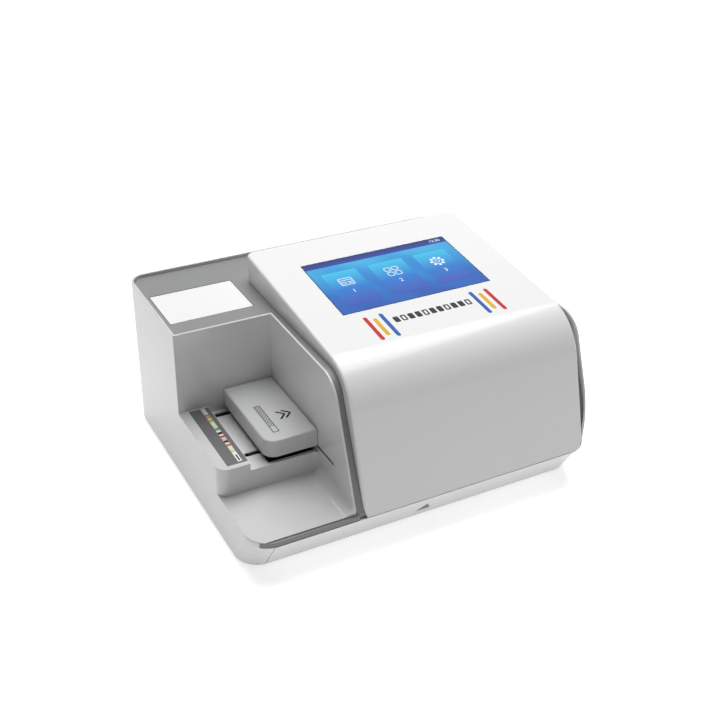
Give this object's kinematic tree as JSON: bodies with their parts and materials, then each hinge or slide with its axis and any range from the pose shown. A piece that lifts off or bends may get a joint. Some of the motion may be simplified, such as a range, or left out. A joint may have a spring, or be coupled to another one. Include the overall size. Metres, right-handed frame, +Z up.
{
  "type": "urine analyzer",
  "caption": "Bench-top urine strip reader with a tilted touch screen, a strip loading bay under a sliding hood, a paper lid and a shallow waste drawer.",
  "frame": {"origin": "middle of the body on the surface it stands on", "axes": "+Z up, +X to the right as seen by the user, front towards -Y"},
  "size_m": [0.34, 0.296, 0.18],
  "materials": {
    "casing_light_grey": "fine moulded texture",
    "cover_white": "satin",
    "core_dark_grey": "fine moulded texture",
    "hood_grey": "satin",
    "door_white": "satin",
    "screen_glass": "glossy",
    "display": "glossy",
    "tray_plastic": "matte",
    "black_plastic": "matte",
    "steel_sheet": "zinc plated",
    "steel_bar": "ground",
    "pulley_aluminium": "turned",
    "bush_brass": "sintered",
    "rubber_black": "matte",
    "motor_black": "satin",
    "circuit_green": "solder mask",
    "paper_white": "paper",
    "lens_glass": "clear",
    "tile_white": "ceramic white"
  },
  "bodies": {
    "root": {"left_shell": "casing_light_grey", "right_shell": "casing_light_grey", "core_body": "core_dark_grey", "top_cover": "cover_white", "touch_glass": "screen_glass", "lcd_panel": "display", "screen_bracket": "steel_sheet", "base_plate": "core_dark_grey", "rubber_feet": "rubber_black", "rear_panel": "casing_light_grey", "chassis": "steel_sheet", "strip_chute": "tray_plastic", "drawer_runners": "steel_sheet", "drawer_latch": "black_plastic", "loader_brackets": "steel_sheet", "loader_motor_plate": "steel_sheet", "guide_rods": "steel_bar", "stepper_motors": "motor_black", "loader_belt": "rubber_black", "feed_bed": "tray_plastic", "feed_plates": "steel_sheet", "feed_belts": "rubber_black", "reference_tile": "tile_white", "head_brackets": "steel_sheet", "head_belt_plate": "steel_sheet", "head_belt": "rubber_black", "printer_frame": "black_plastic", "door_hinge_pin": "steel_bar", "printer_motor": "steel_sheet", "print_head": "black_plastic", "main_board": "circuit_green", "board_posts": "steel_bar", "data_sockets": "black_plastic", "power_inlet": "black_plastic", "switch_body": "black_plastic", "casing_screws": "steel_bar"},
    "drawer": {"drawer_front": "casing_light_grey", "drawer_box": "tray_plastic", "drawer_liner": "tray_plastic"},
    "loader": {"loader_hood": "hood_grey", "loader_carriage": "black_plastic", "loader_bushes": "bush_brass"},
    "loader_drive": {"loader_drive_pulley": "pulley_aluminium"},
    "loader_idler": {"loader_idler_pulley": "pulley_aluminium"},
    "reading_head": {"head_housing": "black_plastic", "head_lens": "lens_glass", "sensor_board": "circuit_green", "head_bushes": "bush_brass"},
    "head_drive": {"head_drive_pulley": "pulley_aluminium"},
    "head_idler": {"head_idler_pulley": "pulley_aluminium"},
    "feed_drive": {"feed_drive_shaft": "steel_bar"},
    "feed_idler": {"feed_idler_shaft": "steel_bar"},
    "printer_lid": {"paper_door": "door_white"},
    "platen": {"platen_roller": "rubber_black", "platen_gear": "black_plastic"},
    "printer_idler": {"idler_gear": "black_plastic"},
    "printer_pinion": {"motor_pinion": "black_plastic"},
    "paper": {"paper_roll": "paper_white", "roll_core": "paper_white"},
    "rocker": {"power_rocker": "black_plastic"}
  },
  "joints": [
    {"name": "drawer_slide", "type": "slide", "parent": "root", "child": "drawer", "axis": [0, -1, 0], "range_m": [0, 0.18]},
    {"name": "loader_slide", "type": "slide", "parent": "root", "child": "loader", "axis": [1, 0, 0], "range_m": [-0.014, 0]},
    {"name": "loader_drive_turn", "type": "hinge", "parent": "root", "child": "loader_drive", "pos_m": [-0.092, 0.026, 0.055], "axis": [0, 1, 0], "range_deg": [-130, 0]},
    {"name": "loader_idler_turn", "type": "hinge", "parent": "root", "child": "loader_idler", "pos_m": [-0.136, 0.026, 0.055], "axis": [0, 1, 0], "range_deg": [-130, 0]},
    {"name": "head_slide", "type": "slide", "parent": "root", "child": "reading_head", "axis": [0, 1, 0], "range_m": [0, 0.095]},
    {"name": "head_drive_turn", "type": "hinge", "parent": "root", "child": "head_drive", "pos_m": [0.013, 0.038, 0.103], "axis": [1, 0, 0], "range_deg": [-870, 0]},
    {"name": "head_idler_turn", "type": "hinge", "parent": "root", "child": "head_idler", "pos_m": [0.013, -0.099, 0.103], "axis": [1, 0, 0], "range_deg": [-870, 0]},
    {"name": "feed_drive_turn", "type": "hinge", "parent": "root", "child": "feed_drive", "pos_m": [0.002, -0.04, 0.061], "axis": [0, 1, 0], "continuous": true},
    {"name": "feed_idler_turn", "type": "hinge", "parent": "root", "child": "feed_idler", "pos_m": [-0.06, -0.04, 0.061], "axis": [0, 1, 0], "continuous": true},
    {"name": "lid_hinge", "type": "hinge", "parent": "root", "child": "printer_lid", "pos_m": [-0.1252, 0.0935, 0.148], "axis": [-1, 0, 0], "range_deg": [0, 85]},
    {"name": "platen_turn", "type": "hinge", "parent": "printer_lid", "child": "platen", "pos_m": [-0.1252, 0.0544, 0.1446], "axis": [1, 0, 0], "continuous": true},
    {"name": "printer_idler_turn", "type": "hinge", "parent": "root", "child": "printer_idler", "pos_m": [-0.087, 0.05629, 0.13389], "axis": [1, 0, 0], "continuous": true},
    {"name": "printer_pinion_turn", "type": "hinge", "parent": "root", "child": "printer_pinion", "pos_m": [-0.087, 0.04797, 0.12784], "axis": [1, 0, 0], "continuous": true},
    {"name": "paper_turn", "type": "hinge", "parent": "root", "child": "paper", "pos_m": [-0.1252, 0.074, 0.117], "axis": [1, 0, 0], "continuous": true},
    {"name": "rocker_tilt", "type": "hinge", "parent": "root", "child": "rocker", "pos_m": [-0.024, 0.1438, 0.0501], "axis": [0, 0, 1], "range_deg": [0, 14]}
  ],
  "couplings": [
    {"joint": "loader_drive_turn", "follows": "loader_slide", "rad_per_m": 158.73},
    {"joint": "loader_idler_turn", "follows": "loader_slide", "rad_per_m": 158.73},
    {"joint": "head_drive_turn", "follows": "head_slide", "rad_per_m": -158.73},
    {"joint": "head_idler_turn", "follows": "head_slide", "rad_per_m": -158.73},
    {"joint": "feed_idler_turn", "follows": "feed_drive_turn", "ratio": 1},
    {"joint": "platen_turn", "follows": "paper_turn", "ratio": 4.1111},
    {"joint": "printer_idler_turn", "follows": "paper_turn", "ratio": -2.6162},
    {"joint": "printer_pinion_turn", "follows": "paper_turn", "ratio": 4.7963}
  ]
}
